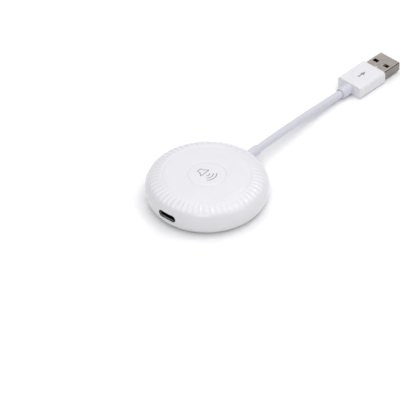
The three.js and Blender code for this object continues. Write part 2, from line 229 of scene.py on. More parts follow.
def finish_mesh(mesh, sharp):
    """Smooth shading, with edges sharper than an angle in degrees left crisp."""
    mesh.shade_smooth()
    mesh.set_sharp_from_angle(angle=math.radians(sharp))


def add_bevel(piece, width_mm, segments=2):
    bevel = piece.modifiers.new("edge_rounding", "BEVEL")
    bevel.width = width_mm * MM
    bevel.segments = segments
    bevel.limit_method = "ANGLE"
    bevel.angle_limit = math.radians(40)
    bevel.harden_normals = True


def boolean(piece, shape, operation):
    """Cuts or joins a shape with a piece and keeps the result as the piece's own mesh."""
    mesh = outward_mesh("tool", shape.points, shape.faces)
    tool = bpy.data.objects.new("tool", mesh)
    bpy.context.collection.objects.link(tool)
    step = piece.modifiers.new("step", "BOOLEAN")
    step.object = tool
    step.operation = operation
    step.solver = "EXACT"
    graph = bpy.context.evaluated_depsgraph_get()
    result = bpy.data.meshes.new_from_object(piece.evaluated_get(graph))
    piece.modifiers.remove(step)
    old = piece.data
    piece.data = result
    result.name = old.name
    bpy.data.meshes.remove(old)
    bpy.data.objects.remove(tool)
    bpy.data.meshes.remove(mesh)


def arc(centre, radius, start, end, steps):
    """Points on a circle in a [radius, z] section, angles in degrees."""
    turns = (math.radians(start + (end - start) * i / steps) for i in range(steps + 1))
    return [(centre[0] + radius * math.cos(t), centre[1] + radius * math.sin(t)) for t in turns]


def rounded_rectangle(width, height, corner, steps):
    """Counter-clockwise outline in X and Z, centred on the origin."""
    x, z = width / 2 - corner, height / 2 - corner
    corners = [((x, z), 0), ((-x, z), 90), ((-x, -z), 180), ((x, -z), 270)]
    return [p for centre, start in corners for p in arc(centre, corner, start, start + 90, steps)]


def catmull_rom(points, steps):
    """A smooth line through the points, with a number of steps between each two."""
    points = [Vector(p) for p in points]
    padded = [2 * points[0] - points[1]] + points + [2 * points[-1] - points[-2]]
    line = []
    for a, b, c, d in zip(padded, padded[1:], padded[2:], padded[3:]):
        for i in range(steps):
            t = i / steps
            line.append(0.5 * (2 * b + (c - a) * t + (2 * a - 5 * b + 4 * c - d) * t * t
                               + (3 * b - a - 3 * c + d) * t ** 3))
    return line + [points[-1]]


def tube(shape, line, radius, sides):
    """A closed tube along a line, with its section turned as little as possible."""
    across = Vector((1, 0, 0))
    rings = []
    for i, point in enumerate(line):
        ahead = line[min(i + 1, len(line) - 1)] - line[max(i - 1, 0)]
        ahead.normalize()
        across = (across - across.dot(ahead) * ahead).normalized()
        up = ahead.cross(across)
        turns = (2 * math.pi * k / sides for k in range(sides))
        rings.append(shape.ring(point + radius * (math.cos(t) * across + math.sin(t) * up) for t in turns))
    shape.loft(rings)
    shape.cap(rings[0])
    shape.cap(rings[-1])


def sheet_sleeve(shape, outer, inner, rows, is_open=lambda along, y: False):
    """A sleeve of sheet along Y: two outlines in X and Z, swept through the rows, with windows."""
    count = len(outer)
    layers = []
    for outline in (outer, inner):
        layers.append([shape.ring((x, y, z) for x, z in outline) for y in rows])
    middle = [tuple((a + b) / 2 for a, b in zip(outer[i], outer[(i + 1) % count])) for i in range(count)]
    kept = [[not is_open(middle[i], (rows[j] + rows[j + 1]) / 2) for i in range(count)]
            for j in range(len(rows) - 1)]

    def solid(i, j):
        return 0 <= j < len(kept) and kept[j][i % count]

    def wall(a, b):
        (j0, i0), (j1, i1) = a, b
        shape.faces.append((layers[0][j0][i0], layers[0][j1][i1], layers[1][j1][i1], layers[1][j0][i0]))

    for j, row in enumerate(kept):
        for i, keep in enumerate(row):
            if not keep:
                continue
            k = (i + 1) % count
            for layer in layers:
                shape.faces.append((layer[j][i], layer[j][k], layer[j + 1][k], layer[j + 1][i]))
            if not solid(i - 1, j):
                wall((j, i), (j + 1, i))
            if not solid(i + 1, j):
                wall((j, k), (j + 1, k))
            if not solid(i, j - 1):
                wall((j, i), (j, k))
            if not solid(i, j + 1):
                wall((j + 1, i), (j + 1, k))


def block(shape, low, high):
    """A box between two corners."""
    (x0, y0, z0), (x1, y1, z1) = low, high
    shape.prism([(x0, y0), (x1, y0), (x1, y1), (x0, y1)], z0, z1)


# ---- Materials ----

NOISE_LOW, NOISE_HIGH = 0.25, 0.75     # where nearly all of a noise's values lie


class Nodes:
    """A new material's node tree with a principled shader and object coordinates."""

    def __init__(self, name):
        self.material = bpy.data.materials.new(name)
        self.material.use_nodes = True
        self.tree = self.material.node_tree
        self.shader = self.tree.nodes["Principled BSDF"]
        self.place = self.add("ShaderNodeTexCoord").outputs["Object"]

    def add(self, kind, **settings):
        node = self.tree.nodes.new(kind)
        for key, value in settings.items():
            setattr(node, key, value)
        return node

    def link(self, output, target):
        self.tree.links.new(output, target)

    def noise(self, size_mm, detail=2.0, stretch=(1, 1, 1)):
        """Noise whose features are about this big, in millimetres, drawn out along the axes by stretch."""
        mapping = self.add("ShaderNodeMapping")
        mapping.inputs["Scale"].default_value = [1 / (size_mm * MM * s) for s in stretch]
        self.link(self.place, mapping.inputs["Vector"])
        noise = self.add("ShaderNodeTexNoise")
        noise.inputs["Scale"].default_value = 1.0
        noise.inputs["Detail"].default_value = detail
        self.link(mapping.outputs["Vector"], noise.inputs["Vector"])
        return noise.outputs["Fac"]

    def remap(self, value, low, high):
        """Spreads a noise's values over a range."""
        node = self.add("ShaderNodeMapRange")
        node.inputs["From Min"].default_value = NOISE_LOW
        node.inputs["From Max"].default_value = NOISE_HIGH
        node.inputs["To Min"].default_value = low
        node.inputs["To Max"].default_value = high
        self.link(value, node.inputs["Value"])
        return node.outputs["Result"]

    def colour(self, value, first, second):
        """Base colour that goes from the first to the second with a noise's value."""
        mix = self.add("ShaderNodeMix", data_type="RGBA")
        mix.inputs["A"].default_value = (*first, 1)
        mix.inputs["B"].default_value = (*second, 1)
        self.link(self.remap(value, 0, 1), mix.inputs["Factor"])
        self.link(mix.outputs["Result"], self.shader.inputs["Base Color"])

    def roughness(self, value, low, high):
        self.link(self.remap(value, low, high), self.shader.inputs["Roughness"])

    def bump(self, *layers):
        """Stacks (value, height in millimetres) layers of relief."""
        before = None
        for value, height_mm in layers:
            node = self.add("ShaderNodeBump")
            node.inputs["Strength"].default_value = 1.0
            node.inputs["Distance"].default_value = height_mm * MM
            self.link(value, node.inputs["Height"])
            if before:
                self.link(before, node.inputs["Normal"])
            before = node.outputs["Normal"]
        self.link(before, self.shader.inputs["Normal"])

    def set(self, **values):
        """Constants on the shader's sockets, with _ for a space in their names."""
        for key, value in values.items():
            self.shader.inputs[key.replace("_", " ")].default_value = value


def scaled(colour, factor):
    return tuple(c * factor for c in colour)


def plastic(name, colour, rough, peel_mm, grain_mm, tone):
    """Moulded plastic: slow tone drift, slight orange peel and a fine surface grain."""
    nodes = Nodes(name)
    nodes.colour(nodes.noise(9.0), colour, scaled(colour, 1 - tone))
    nodes.roughness(nodes.noise(3.5, 1.0), rough * 0.92, rough * 1.1)
    nodes.bump((nodes.noise(2.4), peel_mm), (nodes.noise(0.09, 3.0), grain_mm))
    nodes.set(IOR=1.49)
    return nodes.material


def elastomer(name, colour, rough):
    """Extruded or moulded soft plastic, with faint marks drawn out along the cable."""
    nodes = Nodes(name)
    nodes.colour(nodes.noise(5.0, 3.0), colour, scaled(colour, 0.96))
    nodes.roughness(nodes.noise(0.6, 3.0), rough * 0.85, rough * 1.15)
    drawn = nodes.noise(0.35, 2.0, stretch=(1, 14, 1))
    nodes.bump((drawn, 0.012), (nodes.noise(0.08, 2.0), 0.006))
    nodes.set(IOR=1.5, Sheen_Weight=0.15, Sheen_Roughness=0.4)
    return nodes.material


def sheet_metal(name, colour, rough, stretch):
    """Plated sheet with fine rolling lines and a few handling marks."""
    nodes = Nodes(name)
    nodes.colour(nodes.noise(5.0, 1.0), colour, scaled(colour, 0.93))
    lines = nodes.noise(0.08, 2.0, stretch=stretch)
    nodes.roughness(nodes.noise(2.5, 1.0), rough * 0.9, rough * 1.12)
    nodes.bump((lines, 0.0008), (nodes.noise(3.0, 1.0), 0.004))
    nodes.set(Metallic=1.0)
    return nodes.material


def plug_sheet(name, colour, painted_bend_reflection, side):
    """Nickel-plated sheet with painted reflections: its bends and sides are coloured darker than its flat
    faces.

    Real plating is one colour. The darker tones follow the surface's direction and are painted reflections of
    the dark surroundings that the bends and sides reflect.
    """
    nodes = Nodes(name)
    normal = nodes.add("ShaderNodeSeparateXYZ")
    nodes.link(nodes.tree.nodes["Texture Coordinate"].outputs["Normal"], normal.inputs[0])
    sideways = nodes.add("ShaderNodeMath", operation="ABSOLUTE")
    nodes.link(normal.outputs["X"], sideways.inputs[0])
    # painted reflection: the bends and sides get darker colours by how far the surface faces sideways
    ramp = nodes.add("ShaderNodeValToRGB")
    ramp.color_ramp.elements[0].position, ramp.color_ramp.elements[0].color = 0.12, (*colour, 1)
    ramp.color_ramp.elements[1].position, ramp.color_ramp.elements[1].color = 0.99, (*side, 1)
    for position in (0.4, 0.85):
        ramp.color_ramp.elements.new(position).color = (*painted_bend_reflection, 1)
    nodes.link(sideways.outputs["Value"], ramp.inputs["Fac"])
    nodes.link(ramp.outputs["Color"], nodes.shader.inputs["Base Color"])
    lines = nodes.noise(0.08, 2.0, stretch=(1, 30, 1))
    nodes.roughness(nodes.noise(2.5, 1.0), 0.26, 0.32)
    nodes.bump((lines, 0.0008), (nodes.noise(3.0, 1.0), 0.004))
    nodes.set(Metallic=1.0)
    return nodes.material


def printed_ink(name, colour):
    nodes = Nodes(name)
    nodes.colour(nodes.noise(0.4, 3.0), colour, scaled(colour, 0.9))
    nodes.roughness(nodes.noise(0.2), 0.4, 0.5)
    nodes.bump((nodes.noise(0.06), 0.002))
    return nodes.material


def board_lacquer(name):
    """Green solder resist over copper: slightly raised tracks and a fine weave."""
    nodes = Nodes(name)
    cells = nodes.add("ShaderNodeTexVoronoi", feature="F1", distance="MANHATTAN")
    cells.inputs["Scale"].default_value = 1 / (1.6 * MM)
    nodes.link(nodes.place, cells.inputs["Vector"])
    nodes.colour(cells.outputs["Distance"], (0.012, 0.11, 0.045), (0.03, 0.19, 0.08))
    nodes.roughness(nodes.noise(1.2), 0.25, 0.38)
    nodes.bump((cells.outputs["Distance"], 0.03), (nodes.noise(0.2), 0.006))
    return nodes.material


WHITE = (0.742, 0.742, 0.765)
LAVENDER = (0.60, 0.60, 0.665)

# Colour, roughness, orange peel and grain in millimetres, tone drift.
PLASTICS = {
    "white_gloss_plastic": (WHITE, 0.19, 0.008, 0.0004, 0.03),
    "white_satin_plastic": (scaled(WHITE, 0.97), 0.42, 0.010, 0.008, 0.03),
    "plug_plastic": (WHITE, 0.30, 0.010, 0.002, 0.03),
    "black_plastic": ((0.018, 0.018, 0.02), 0.5, 0.008, 0.006, 0.2),
    "plug_insulator": ((0.02, 0.02, 0.022), 0.45, 0.008, 0.005, 0.2),
    "chip_epoxy": ((0.022, 0.022, 0.025), 0.6, 0.004, 0.01, 0.2),
    "natural_plastic": ((0.72, 0.71, 0.64), 0.4, 0.006, 0.003, 0.03),
    "ferrite": ((0.05, 0.05, 0.055), 0.65, 0.01, 0.015, 0.2),
    "component_ceramic": ((0.52, 0.38, 0.22), 0.5, 0.004, 0.01, 0.1),
}
# Colour, roughness.
ELASTOMERS = {
    "foot_silicone": ((0.40, 0.40, 0.42), 0.7),
    "cable_elastomer": (LAVENDER, 0.42),
    "wire_red": ((0.45, 0.02, 0.015), 0.45),
    "wire_white": ((0.72, 0.72, 0.70), 0.45),
    "wire_green": ((0.02, 0.24, 0.06), 0.45),
    "wire_black": ((0.012, 0.012, 0.012), 0.45),
}
# Colour, roughness, how far the rolling lines are drawn out along X, Y and Z.
METALS = {
    "tinned_steel": ((0.68, 0.68, 0.69), 0.3, (30, 1, 1)),
    # painted shade: the port's shell is coloured far darker than steel, for the shade inside its opening
    "port_shell_painted_shade": ((0.07, 0.07, 0.075), 0.4, (30, 1, 1)),      # far darker than tinned steel is
    "screw_steel": ((0.52, 0.53, 0.55), 0.32, (1, 1, 12)),
    # painted shade: the contacts are coloured darker than gold plating, for the shade inside their shells
    "contact_gold": ((0.30, 0.22, 0.12), 0.25, (1, 20, 1)),    # darker than gold plating is
}
# flat colour of the plug's sheet, then the darker painted reflections on its bends and sides
PLUG_SHEET_FLAT = (0.525, 0.48, 0.447)
PLUG_SHEET_PAINTED_BEND_REFLECTION = (0.10, 0.09, 0.085)
PLUG_SHEET_PAINTED_SIDE_REFLECTION = (0.27, 0.245, 0.225)

materials = {name: plastic(name, *values) for name, values in PLASTICS.items()}
materials.update({name: elastomer(name, *values) for name, values in ELASTOMERS.items()})
materials.update({name: sheet_metal(name, *values) for name, values in METALS.items()})
materials["nickel_steel"] = plug_sheet("nickel_steel", PLUG_SHEET_FLAT, PLUG_SHEET_PAINTED_BEND_REFLECTION, PLUG_SHEET_PAINTED_SIDE_REFLECTION)
materials["board_lacquer"] = board_lacquer("board_lacquer")
grey_ink = printed_ink("grey_ink", (0.27, 0.27, 0.28))


# ---- Camera, light and floor ----

CAMERA_AZIMUTH = 41.5            # degrees
CAMERA_ELEVATION = 39.13
CAMERA_ROLL = -1.14
CAMERA_TARGET = Vector((-1.797, -3.04, 0)) * MM
CAMERA_DISTANCE = 1.5113         # metres
FAR_CLIP = 10.0                  # metres
SENSOR_WIDTH = 36.0              # millimetres
FOCAL_LENGTH = 301.7             # millimetres

SKY_COLOUR = (0.985, 1, 0.995, 1)
SKY_STRENGTH = 0.39
# Name, side in metres, power in watts, place in metres, colour.
SOFTBOXES = [
    ("softbox_above", 1.4, 8.95, (0.0, 0.12, 0.95), (0.99, 0.97, 1.0)),
    ("softbox_front", 0.4, 2.0, (0.45, -0.75, 0.75), (1, 1, 1)),
    ("softbox_right", 0.5, 0.7, (0.8, 0.1, 0.5), (1, 1, 1)),
    ("softbox_small", 0.08, 0.55, (0.2, 0.32, 0.93), (1, 1, 1)),
    ("softbox_back", 0.4, 0.5, (-0.72, 0.82, 0.33), (1, 1, 1)),
]
FLOOR_HALF_WIDTH = 3000          # millimetres


def add_camera():
    azimuth, elevation = math.radians(CAMERA_AZIMUTH), math.radians(CAMERA_ELEVATION)
    roll = math.radians(CAMERA_ROLL)
    back = Vector((math.sin(azimuth) * math.cos(elevation), -math.cos(azimuth) * math.cos(elevation),
                   math.sin(elevation)))
    level = Vector((math.cos(azimuth), math.sin(azimuth), 0))
    upright = back.cross(level)
    right = math.cos(roll) * level + math.sin(roll) * upright
    up = math.cos(roll) * upright - math.sin(roll) * level
    data = bpy.data.cameras.new("camera")
    data.sensor_width = SENSOR_WIDTH
    data.lens = FOCAL_LENGTH
    data.clip_end = FAR_CLIP
    camera = bpy.data.objects.new("camera", data)
    camera.matrix_world = Matrix.Translation(CAMERA_TARGET + CAMERA_DISTANCE * back) @ Matrix(
        (right, up, back)).transposed().to_4x4()
    bpy.context.collection.objects.link(camera)
    bpy.context.scene.camera = camera


def add_softbox(name, size, power, place, colour):
    """A square light that faces the puck's middle."""
    data = bpy.data.lights.new(name, "AREA")
    data.shape = "SQUARE"
    data.size = size
    data.energy = power
    data.color = colour
    light = bpy.data.objects.new(name, data)
    place = Vector(place)
    light.matrix_world = Matrix.Translation(place) @ place.to_track_quat("Z", "Y").to_matrix().to_4x4()
    bpy.context.collection.objects.link(light)


def add_floor():
    shape = Shape()
    half = FLOOR_HALF_WIDTH
    shape.cap(shape.ring([(-half, -half, 0), (half, -half, 0), (half, half, 0), (-half, half, 0)]))
    mesh = bpy.data.meshes.new("floor")
    mesh.from_pydata([p * MM for p in shape.points], [], shape.faces)
    floor = bpy.data.objects.new("floor", mesh)
    bpy.context.collection.objects.link(floor)
    paper = Nodes("floor_paper")
    paper.colour(paper.noise(40.0), (0.93, 0.93, 0.93), (0.92, 0.92, 0.92))
    paper.roughness(paper.noise(5.0), 0.85, 0.95)
    mesh.materials.append(paper.material)


def add_studio():
    world = bpy.data.worlds.new("studio")
    world.use_nodes = True
    sky = world.node_tree.nodes["Background"]
    sky.inputs["Color"].default_value = SKY_COLOUR
    sky.inputs["Strength"].default_value = SKY_STRENGTH
    bpy.context.scene.world = world
    for softbox in SOFTBOXES:
        add_softbox(*softbox)
    bpy.context.scene.view_settings.view_transform = "Standard"


add_camera()
add_studio()
add_floor()


# ---- Puck casing ----

def shoulder_z(radius):
    """Height of the smooth shoulder at a radius."""
    reach = max(0.0, radius - FLAT_TOP_RADIUS) / (RADIUS - FLAT_TOP_RADIUS)
    return WIDEST_Z + (TOP - WIDEST_Z) * (1 - reach ** SHOULDER_POWER) ** (1 / SHOULDER_POWER)


def side_radius(z):
    """Radius of the smooth side at a height, above or below the widest level."""
    if z < WIDEST_Z:
        fall = (WIDEST_Z - z) / WIDEST_Z
        return BASE_RADIUS + (RADIUS - BASE_RADIUS) * math.sqrt(1 - fall * fall)
    rise = (z - WIDEST_Z) / (TOP - WIDEST_Z)
    reach = (1 - rise ** SHOULDER_POWER) ** (1 / SHOULDER_POWER)
    return FLAT_TOP_RADIUS + (RADIUS - FLAT_TOP_RADIUS) * reach


def fluted_z(radius, angle):
    """Height of the shoulder, with round-bottomed flutes that sink towards the section's chord."""
    surface = shoulder_z(radius)
    along = (radius - FLUTE_START) / (FLUTE_END - FLUTE_START)
    chord = shoulder_z(FLUTE_START) * (1 - along) + shoulder_z(FLUTE_END) * along
    depth = FLUTE_DEPTH_SHARE * (surface - chord)
    if depth <= 0 or not 0 < along < 1:
        return surface
    half_step = math.pi / FLUTE_COUNT
    across = radius * ((angle + half_step) % (2 * half_step) - half_step)
    cut = surface - depth + across ** 2 / (2 * FLUTE_CUTTER_RADIUS)
    blend = min(FLUTE_BLEND, depth)
    overlap = max(blend - abs(surface - cut), 0) / blend
    return min(surface, cut) - overlap ** 2 * blend / 4


def capsule_reach(direction, half_length, radius):
    """How far a ray from the middle goes before it leaves a capsule that lies along X."""
    low, high = 0.0, 4 * (half_length + radius)
    for _ in range(40):
        middle = (low + high) / 2
        x, z = abs(direction[0]) * middle, direction[1] * middle
        inside = math.hypot(max(x - half_length, 0), z) < radius
        low, high = (middle, high) if inside else (low, middle)
    return low


def side_hole(shape, outer_loop, inner_loop, side, axis_z, half_length, radius):
    """Joins a gap in the outer wall to one in the inner wall through a hole with a rounded rim."""
    def outer_point(x, z, depth=0.0):
        return x, side * (math.sqrt(side_radius(z) ** 2 - x * x) - depth), z

    def inner_point(x, z):
        return x, side * math.sqrt(CAVITY_RADIUS ** 2 - x * x), z

    def rim(loop, grow):
        points = []
        for vertex in loop:
            place = shape.points[vertex]
            direction = Vector((place.x, place.z - axis_z)).normalized()
            reach = capsule_reach(direction, half_length, radius + grow)
            points.append((direction.x * reach, axis_z + direction.y * reach))
        return points

    def between(loop, points, share):
        for vertex, (x, z) in zip(loop, points):
            place = shape.points[vertex]
            yield place.x + (x - place.x) * share, place.z + (z - place.z) * share

    wide = rim(outer_loop, HOLE_FILLET)
    rings = [outer_loop]
    for share in (0.3, 0.55, 0.75, 0.9):
        rings.append(shape.ring(outer_point(*p) for p in between(outer_loop, wide, share)))
    for turn in (0, 22.5, 45, 67.5, 90):
        grow = HOLE_FILLET * (1 - math.sin(math.radians(turn)))
        depth = HOLE_FILLET * (1 - math.cos(math.radians(turn)))
        rings.append(shape.ring(outer_point(x, z, depth) for x, z in rim(outer_loop, grow)))
    narrow = rim(inner_loop, 0)
    rings.append(shape.ring(inner_point(*p) for p in narrow))
    rings.append(shape.ring(inner_point(*p) for p in between(inner_loop, narrow, 0.5)))
    rings.append(inner_loop)
    shape.loft(rings)


def rectangle_loop(rows, first, last):
    """Vertices round a patch of the grid, in order: along the first row, up, back and down."""
    along = [i % MERIDIANS for i in range(first, last + 1)]
    bottom = [rows[0][i] for i in along[:-1]]
    right = [row[along[-1]] for row in rows[:-1]]
    top = [rows[-1][i] for i in reversed(along[1:])]
    left = [row[along[0]] for row in reversed(rows[1:])]
    return bottom + right + top + left


def housing_profile():
    """Closed section of the housing: up the outside, over the top, down the bore and the inside.

    Returns the [radius, z, fluted] rows and the first and last row of the outer and inner walls'
    patches, where the holes go.
    """
    lip = SEAM_Z + 0.06
    rows = [(side_radius(lip) - 0.12, lip), (side_radius(lip + 0.04) - 0.03, lip + 0.03),
            (side_radius(lip + 0.12), lip + 0.12)]
    rows += [(side_radius(z), z) for z in (1.7, 2.2, 2.8)]
    outer_start = len(rows)
    wall = [PORT_Z + 0.6 * k for k in range(-6, 7)]
    rows += [(side_radius(z), z) for z in wall]
    outer_end = len(rows) - 1
    rows += [(side_radius(z), z) for z in (10.85, 11.1)]
    rows = [(radius, z, False) for radius, z in rows]
    for k in range(FLUTED_STEPS + 1):
        radius = FLUTED_OUTER_RADIUS - k / FLUTED_STEPS * (FLUTED_OUTER_RADIUS - FLUTED_INNER_RADIUS)
        rows.append((radius, shoulder_z(radius), True))
    groove = [(20.38, 13.985), (20.26, 13.93), (20.14, 13.89), (20.02, 13.89), (19.9, 13.93), (19.78, 13.985)]
    top = [(19.6, TOP), (18.5, TOP), (15, TOP), (12, TOP), (9.5, TOP), (9.3, TOP - 0.004)]
    bore = [(9.1, TOP - 0.014), (8.9, TOP - 0.03), (8.76, TOP - 0.045), (8.72, TOP - 0.06),
            (BORE_RADIUS, TOP - 0.1), (BORE_RADIUS, CAVITY_ROOF_Z)]
    roof = [(14, CAVITY_ROOF_Z), (20, CAVITY_ROOF_Z), (22.6, 11.4), (CAVITY_RADIUS, 10.8)]
    rows += [(radius, z, False) for radius, z in groove + top + bore + roof]
    inner_start = len(rows)
    rows += [(CAVITY_RADIUS, z, False) for z in reversed(wall)]
    inner_end = len(rows) - 1
    rows += [(CAVITY_RADIUS, lip, False)]
    return rows, (outer_start, outer_end), (inner_start, inner_end)


def make_housing():
    shape = Shape()
    rows, outer, inner = housing_profile()
    angles = [2 * math.pi * i / MERIDIANS for i in range(MERIDIANS)]
    grid = []
    for radius, z, fluted in rows:
        grid.append(shape.ring(
            (radius * math.cos(a), radius * math.sin(a), fluted_z(radius, a) if fluted else z)
            for a in angles))
    port_column, cable_column = 3 * MERIDIANS // 4, MERIDIANS // 4
    patches = [(port_column, 26), (cable_column, 13)]
    walls = [range(outer[0], outer[1]), range(inner[0], inner[1])]

    def in_patch(i, j):
        return any(j in wall for wall in walls) and any(c - h <= i < c + h for c, h in patches)

    for j in range(len(grid)):
        below, above = grid[j], grid[(j + 1) % len(grid)]
        for i in range(MERIDIANS):
            if not in_patch(i, j):
                k = (i + 1) % MERIDIANS
                shape.faces.append((below[i], below[k], above[k], above[i]))
    port_hole = (-1, PORT_Z, PORT_HALF_WIDTH - PORT_HALF_HEIGHT, PORT_HALF_HEIGHT)
    cable_hole = (1, EXIT_Z, 0.0, CABLE_HOLE_RADIUS)
    for (column, half), hole in zip(patches, (port_hole, cable_hole)):
        outer_loop = rectangle_loop(grid[outer[0]:outer[1] + 1], column - half, column + half)
        inner_loop = rectangle_loop(grid[inner[0]:inner[1] + 1][::-1], column - half, column + half)
        side_hole(shape, outer_loop, inner_loop, *hole)
    add_pillars(shape)
    shape.object("housing_shell", materials["white_gloss_plastic"], "white_gloss_plastic",
                 sharp=50, replaces=["housing"])


def pillar_places():
    """Middles of the four screw pillars, as [x, y]."""
    return [tuple(c * PILLAR_CIRCLE_RADIUS for c in (math.cos(math.radians(a)), math.sin(math.radians(a))))
            for a in (45, 135, 225, 315)]


def add_pillars(shape):
    """Screw pillars and board posts, closed tubes that reach a little into the roof."""
    tops = CAVITY_ROOF_Z + 0.3
    for centre in pillar_places():
        shape.revolve([(0, tops - 0.4), (2.6, tops - 0.4), (2.6, 3.4), (2.45, 3.25), (1.1, 3.25),
                       (1.1, 10.1), (0, 10.1)], steps=32, centre=centre)
    for x in (-POST_X, POST_X):
        shape.revolve([(0, tops), (2.0, tops), (2.0, 5.5), (1.9, 5.4), (0.9, 5.4), (0.9, 9.9), (0, 9.9)],
                      steps=24, centre=(x, 0))


def make_base_cover():
    edge = side_radius(SEAM_Z)
    low = side_radius(UNDERSIDE_Z)
    groove_top = FOOT_HIGH.z + 0.05
    shape = Shape()
    shape.revolve([
        (0, UNDERSIDE_Z + 0.12), (13.0, UNDERSIDE_Z + 0.12), (13.12, UNDERSIDE_Z + 0.06),
        (13.3, UNDERSIDE_Z), (17.0, UNDERSIDE_Z), (17.1, UNDERSIDE_Z + 0.1), (17.1, groove_top),
        (21.9, groove_top), (21.9, UNDERSIDE_Z + 0.1), (22.0, UNDERSIDE_Z), (low - 0.25, UNDERSIDE_Z),
        (low - 0.1, UNDERSIDE_Z + 0.02), *((side_radius(z), z) for z in (0.5, 0.7, 0.9, 1.08)),
        (edge - 0.06, SEAM_Z - 0.03), (edge - 0.16, SEAM_Z), (24.3, SEAM_Z), (24.3, 1.75), (24.15, 1.9),
        (0, 1.9),
    ], steps=324)
    cover = shape.object("base_cover_shell", materials["white_satin_plastic"], "white_satin_plastic",
                         replaces=["base_cover"])
    cups, wells = Shape(), Shape()
    for centre in pillar_places():
        cups.revolve([(0, 1.5), (2.9, 1.5), (2.9, 3.1), (2.8, 3.2), (0, 3.2)], steps=48, centre=centre)
        wells.revolve([(0, 0), (1.9, 0), (1.9, 2.3), (1.2, 2.3), (1.2, 5), (0, 5)], steps=48, centre=centre)
    boolean(cover, cups, "UNION")
    boolean(cover, wells, "DIFFERENCE")
    finish_mesh(cover.data, 35)


def make_foot_ring():
    low, high = FOOT_LOW.z, FOOT_HIGH.z
    outer = FOOT_HIGH.x
    inner = 17.2
    section = arc((inner + 0.25, low + 0.25), 0.25, 180, 270, 4)
    for groove in (18.5, 19.5, 20.5):
        section += [(groove - 0.18, low), (groove - 0.1, low + 0.08), (groove + 0.1, low + 0.08),
                    (groove + 0.18, low)]
    section += arc((outer - 0.25, low + 0.25), 0.25, 270, 360, 4) + [(outer, high), (inner, high)]
    shape = Shape()
    shape.revolve(section, steps=240, closed=True)
    shape.object("foot_ring_silicone", materials["foot_silicone"], "foot_silicone",
                 replaces=["foot_ring"])


# ---- Button ----

def make_button():
    low, high = box_mm("button_cap")
    flange = high.x
    under = TOP - 1.2
    shape = Shape()
    shape.revolve([
        (0, low.z), (2.1, low.z), (2.2, low.z + 0.1), (2.2, under), (7.5, under), (7.6, under - 0.1),
        (7.6, 11.1), (7.7, 11.0), (flange - 0.1, 11.0), (flange, 11.1), (flange, 12.0), (flange - 0.1, 12.1),
        (BUTTON_RADIUS, 12.1), (BUTTON_RADIUS, TOP - 0.1), (BUTTON_RADIUS - 0.02, TOP - 0.06),
        (BUTTON_RADIUS - 0.06, TOP - 0.045), (BUTTON_RADIUS - 0.2, TOP - 0.03),
        (BUTTON_RADIUS - 0.4, TOP - 0.014), (BUTTON_RADIUS - 0.6, TOP - 0.004), (BUTTON_RADIUS - 0.8, TOP),
        (6.5, TOP), (3.5, TOP), (0, TOP),
    ], steps=216)
    shape.object("button_disc", materials["white_gloss_plastic"], "white_gloss_plastic",
                 body="button", sharp=50, replaces=["button_cap"])


def stroke(shape, line, width, bottom, top, closed=False):
    """A flat printed line with round ends, drawn through [x, y] points."""
    line = [Vector(p) for p in line]
    count = len(line)
    left, right = [], []
    for i, point in enumerate(line):
        before = line[i - 1] if closed or i > 0 else point
        after = line[(i + 1) % count] if closed or i < count - 1 else point
        ahead = (after - before).normalized()
        side = Vector((-ahead.y, ahead.x)) * width / 2
        left.append(point + side)
        right.append(point - side)
    if closed:
        rings = [shape.ring((p.x, p.y, z) for p in edge) for edge, z in
                 ((left, bottom), (left, top), (right, top), (right, bottom))]
        shape.loft(rings, closed=True)
        return
    outline = []
    for edge, end, inner in ((right, line[-1], line[-2]), (left[::-1], line[0], line[1])):
        outline += edge
        ahead = (end - inner).normalized()
        side = Vector((ahead.y, -ahead.x))
        for k in range(1, 6):
            turn = math.pi * k / 6
            outline.append(end + (math.cos(turn) * side + math.sin(turn) * ahead) * width / 2)
    shape.prism(outline, bottom, top)


def make_top_mark():
    """A generic loudspeaker sign with three sound arcs, printed on the button."""
    bottom, top = TOP - 0.02, TOP + 0.015
    width = 0.4
    shape = Shape()
    speaker = rounded_outline([(-4.7, -1.15), (-3.2, -1.15), (-1.2, -2.85), (-1.2, 2.85), (-3.2, 1.15),
                               (-4.7, 1.15)], 0.35)
    stroke(shape, speaker, width, bottom, top, closed=True)
    for radius in (1.7, 3.3, 4.9):
        stroke(shape, arc((-0.6, 0), radius, -42, 42, 14), width, bottom, top)
    shape.object("top_mark", grey_ink, "white_gloss_plastic", body="button")


def rounded_outline(corners, radius, steps=4):
    """A closed outline with every corner eased."""
    points = []
    corners = [Vector(c) for c in corners]
    for i, corner in enumerate(corners):
        start = corner + (corners[i - 1] - corner).normalized() * radius
        end = corner + (corners[(i + 1) % len(corners)] - corner).normalized() * radius
        for k in range(steps + 1):
            t = k / steps
            points.append((1 - t) ** 2 * start + 2 * t * (1 - t) * corner + t * t * end)
    return points


# ---- USB-C port ----

def make_port_shell():
    width, height = SHELL_C_HIGH.x - SHELL_C_LOW.x, SHELL_C_HIGH.z - SHELL_C_LOW.z
    middle = (SHELL_C_HIGH.z + SHELL_C_LOW.z) / 2
    wall = 0.3
    outer = rounded_rectangle(width, height, height / 2 - 0.05, 10)
    inner = rounded_rectangle(width - 2 * wall, height - 2 * wall, height / 2 - wall - 0.05, 10)
    front = SHELL_C_LOW.y + PORT_SHELL_SETBACK
    rows = [front, front + 0.4, front + 2, front + 4, SHELL_C_HIGH.y]
    shape = Shape()
    sheet_sleeve(shape, outer, inner, rows)
    shape.move(Matrix.Translation((0, 0, middle)))
    shape.object("port_shell", materials["port_shell_painted_shade"], "tinned_steel", bevel=0.06,
                 replaces=["usb_c_shell"])


